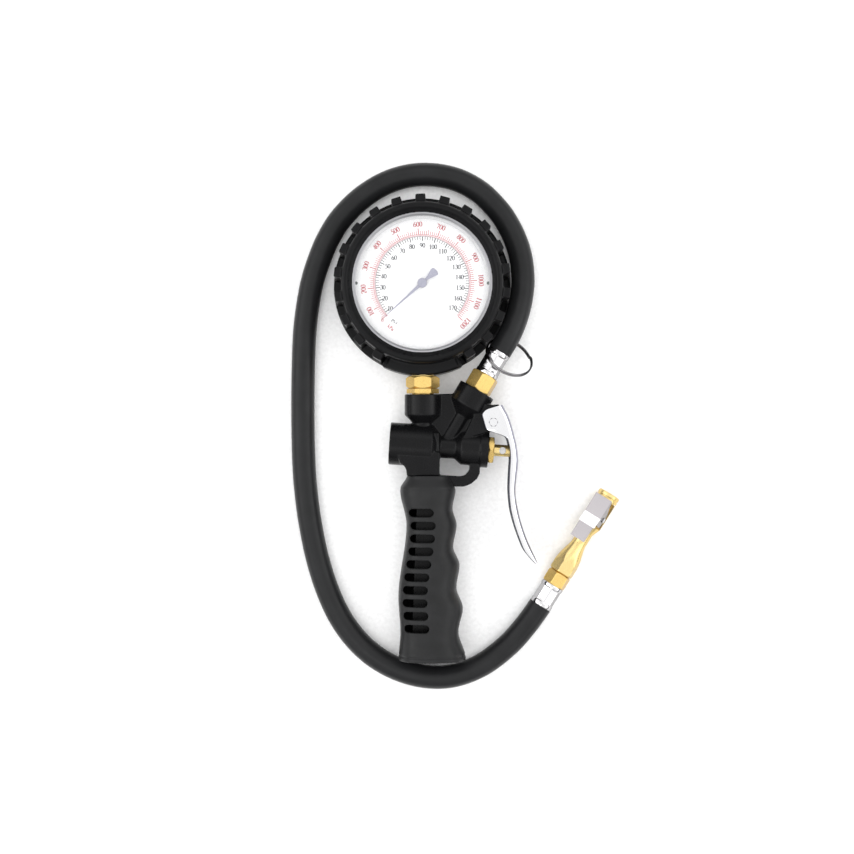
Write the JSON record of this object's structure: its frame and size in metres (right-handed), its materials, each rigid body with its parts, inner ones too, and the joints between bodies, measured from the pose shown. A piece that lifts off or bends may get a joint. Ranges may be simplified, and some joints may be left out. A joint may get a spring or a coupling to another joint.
{
  "type": "tyre inflator with gauge",
  "caption": "Hand-held tyre inflator: booted dial gauge, die-cast valve body with finger lever and plastic pistol grip, rubber hose and clip-on chuck.",
  "frame": {"origin": "bottom centre of the box around the inflator without its hose and chuck, on the surface it lies on", "axes": "+Y from the grip to the gauge, +X towards the lever, +Z out of the dial towards its reader"},
  "size_m": [0.1823, 0.2925, 0.0375],
  "materials": {
    "boot_rubber": "matte moulded rubber",
    "case_steel": "satin",
    "bezel_steel": "satin",
    "window_glass": "clear polished",
    "dial_white": "printed white, satin",
    "screw_black": "blackened",
    "pointer_grey": "satin lilac grey",
    "brass": "machined, lightly polished",
    "spring_steel": "drawn wire",
    "seal_rubber": "smooth",
    "casting_black": "satin black powder coat on a die casting",
    "lever_chrome": "polished plating",
    "ferrule_chrome": "bright plating, crimped",
    "clip_chrome": "satin plating",
    "ring_steel": "bright wire",
    "grip_plastic": "fine matte texture",
    "hose_rubber": "matte smooth cover"
  },
  "bodies": {
    "body": {"gauge_boot": "boot_rubber", "gauge_case": "case_steel", "case_screws": "case_steel", "gauge_bezel": "bezel_steel", "gauge_window": "window_glass", "window_gasket": "seal_rubber", "gauge_dial": "dial_white", "dial_screws": "screw_black", "movement_frame": "brass", "hairspring": "spring_steel", "bourdon_tube": "brass", "bourdon_tip": "brass", "gauge_socket": "brass", "gauge_nut": "brass", "gauge_adapter": "brass", "valve_body": "casting_black", "inlet_strainer": "brass", "valve_spring": "spring_steel", "stem_oring": "seal_rubber", "bonnet_nut": "brass", "lever_pin": "case_steel", "grip": "grip_plastic", "grip_end_cap": "grip_plastic", "hose_fitting": "brass", "body_ferrule": "ferrule_chrome", "hose": "hose_rubber", "chuck_ferrule": "ferrule_chrome", "chuck_fitting": "brass", "chuck_body": "brass", "chuck_nose": "brass", "chuck_seal": "seal_rubber", "chuck_depressor": "brass", "chuck_clip_pin": "case_steel", "chuck_clip_spring": "spring_steel"},
    "lever": {"lever": "lever_chrome"},
    "stem": {"valve_stem": "brass", "valve_seal": "seal_rubber"},
    "sector": {"sector_gear": "brass"},
    "pointer": {"gauge_pointer": "pointer_grey", "pinion_arbor": "brass"},
    "link": {"gauge_link": "brass"},
    "clip": {"chuck_clip": "clip_chrome"},
    "ring": {"split_ring": "ring_steel"}
  },
  "joints": [
    {"name": "lever_press", "type": "hinge", "parent": "body", "child": "lever", "pos_m": [0.0322, 0.0022, 0.0188], "axis": [0, 0, 1], "range_deg": [-15, 0], "stiffness_Nm_per_rad": 0.5},
    {"name": "stem_travel", "type": "slide", "parent": "body", "child": "stem", "axis": [0.9979, -0.0645, 0], "range_m": [-0.0041, 0], "deforming": ["valve_spring"]},
    {"name": "sector_swing", "type": "hinge", "parent": "body", "child": "sector", "pos_m": [-0.0065, 0.0617, 0.0163], "axis": [0, 0, 1], "range_deg": [0, 32.85], "stiffness_Nm_per_rad": 0.01},
    {"name": "pointer_turn", "type": "hinge", "parent": "body", "child": "pointer", "pos_m": [-0.0065, 0.0779, 0.0218], "axis": [0, 0, 1], "range_deg": [-263, 0], "deforming": ["hairspring"]},
    {"name": "link_turn", "type": "hinge", "parent": "sector", "child": "link", "pos_m": [-0.00826, 0.05555, 0.0138], "axis": [0, 0, 1], "range_deg": [-28.4, 0]},
    {"name": "clip_press", "type": "hinge", "parent": "body", "child": "clip", "pos_m": [0.08957, -0.04962, 0.00841], "axis": [0.7969, -0.498, 0.342], "range_deg": [0, 12], "stiffness_Nm_per_rad": 0.1, "deforming": ["chuck_clip_spring"]},
    {"name": "split_ring_swing", "type": "hinge", "parent": "body", "child": "ring", "pos_m": [0.036, 0.041, 0.0188], "axis": [0.5075, 0.8616, 0], "range_deg": [-10, 6]}
  ],
  "couplings": [
    {"joint": "stem_travel", "follows": "lever_press", "m_per_rad": 0.015},
    {"joint": "pointer_turn", "follows": "sector_swing", "ratio": -8},
    {"joint": "link_turn", "follows": "sector_swing", "ratio": -0.8552}
  ]
}
